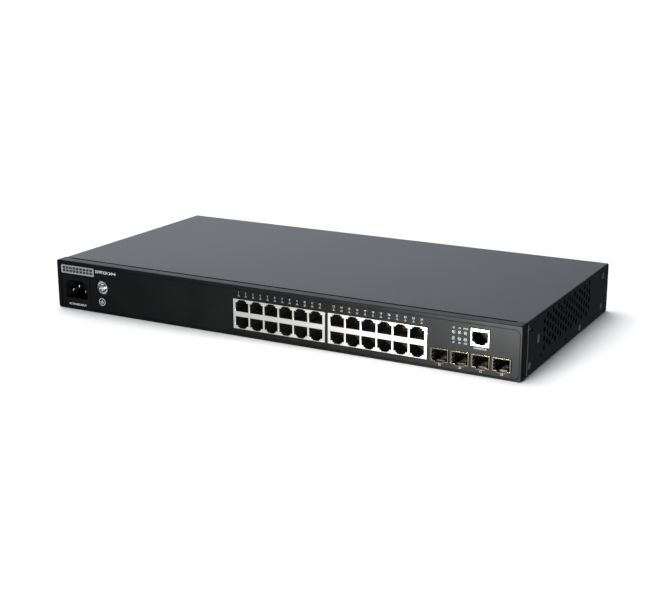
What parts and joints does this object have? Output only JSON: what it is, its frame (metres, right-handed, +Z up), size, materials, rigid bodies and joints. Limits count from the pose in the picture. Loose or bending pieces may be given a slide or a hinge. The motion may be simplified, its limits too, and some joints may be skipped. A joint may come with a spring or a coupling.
{
  "type": "rackmount network switch",
  "caption": "Rackmount network switch: flat steel case, moulded front with copper ports, optics bays, console port, mains inlet and ground screw.",
  "frame": {"origin": "middle of the chassis floor's underside, which is the plane that the switch rests on", "axes": "+X to the right seen from the front, +Y from the front to the back, +Z up"},
  "size_m": [0.44, 0.22, 0.044],
  "materials": {
    "black_paint": "fine-textured satin powder coat, near-black blue-grey",
    "black_moulding": "satin moulded, near-black",
    "zinc_steel": "bare hot-dip galvanised sheet with faint spangle",
    "nickel_plate": "bright nickel-plated sheet",
    "tin_plate": "dull warm tin-plated sheet",
    "screw_steel": "bright zinc-plated steel",
    "pin_metal": "nickel-plated brass",
    "light_guide": "clear polycarbonate, pale green-white",
    "board_laminate": "green solder resist",
    "chip_resin": "moulded epoxy, black",
    "ferrite": "sintered ferrite with a taped winding",
    "copper_winding": "enamelled copper wire",
    "fin_aluminium": "extruded, plain",
    "can_sleeve": "shrink sleeve, dark blue",
    "natural_nylon": "natural nylon",
    "cable_sleeve": "soft PVC sleeve",
    "plate_finish": "printed plain plate, silver-grey"
  },
  "bodies": {
    "chassis": {"chassis_base": "zinc_steel", "front_bezel": "black_moulding", "name_plate": "plate_finish", "port_block_left_shield": "nickel_plate", "port_block_left_housing": "black_moulding", "port_light_guide_left": "light_guide", "port_block_right_shield": "nickel_plate", "port_block_right_housing": "black_moulding", "port_light_guide_right": "light_guide", "console_port_shield": "nickel_plate", "console_port_housing": "black_moulding", "status_light_guide": "light_guide", "optics_cage_1": "tin_plate", "optics_connector_1": "chip_resin", "optics_cage_2": "tin_plate", "optics_connector_2": "chip_resin", "optics_cage_3": "tin_plate", "optics_connector_3": "chip_resin", "optics_cage_4": "tin_plate", "optics_connector_4": "chip_resin", "inlet_housing": "black_moulding", "inlet_pin_line": "pin_metal", "inlet_pin_neutral": "pin_metal", "inlet_pin_earth": "pin_metal", "ground_nut": "screw_steel", "main_board": "board_laminate", "switch_chip": "chip_resin", "switch_chip_heatsink": "fin_aluminium", "port_driver_chip_1": "chip_resin", "port_driver_chip_2": "chip_resin", "board_power_socket": "natural_nylon", "console_board": "board_laminate", "console_board_header": "chip_resin", "power_board": "board_laminate", "power_inlet_socket": "natural_nylon", "power_choke": "copper_winding", "power_capacitor": "can_sleeve", "power_transformer": "ferrite", "power_heatsink_primary": "fin_aluminium", "power_heatsink_secondary": "fin_aluminium", "power_output_socket": "natural_nylon", "mains_harness": "cable_sleeve", "board_supply_harness": "cable_sleeve", "port_transformer_1": "chip_resin", "port_transformer_2": "chip_resin", "port_transformer_3": "chip_resin", "port_transformer_4": "chip_resin", "port_transformer_5": "chip_resin", "port_transformer_6": "chip_resin"},
    "cover": {"top_cover": "black_paint", "cover_screw_left_1": "screw_steel", "cover_screw_left_2": "screw_steel", "cover_screw_left_3": "screw_steel", "cover_screw_left_4": "screw_steel", "cover_screw_right_1": "screw_steel", "cover_screw_right_2": "screw_steel", "cover_screw_right_3": "screw_steel", "cover_screw_right_4": "screw_steel"},
    "ground_washer": {"ground_washer": "screw_steel"},
    "ground_screw": {"ground_screw": "screw_steel"}
  },
  "joints": [
    {"name": "cover_lift", "type": "slide", "parent": "chassis", "child": "cover", "axis": [0, 0, 1], "range_m": [0, 0.12]},
    {"name": "ground_screw_travel", "type": "slide", "parent": "chassis", "child": "ground_washer", "axis": [0, -1, 0], "range_m": [0, 0.0028]},
    {"name": "ground_screw_turn", "type": "hinge", "parent": "ground_washer", "child": "ground_screw", "pos_m": [-0.1717, -0.107, 0.0229], "axis": [0, -1, 0], "range_deg": [0, 1440]}
  ],
  "couplings": [
    {"joint": "ground_screw_turn", "follows": "ground_screw_travel", "rad_per_m": 8976}
  ]
}
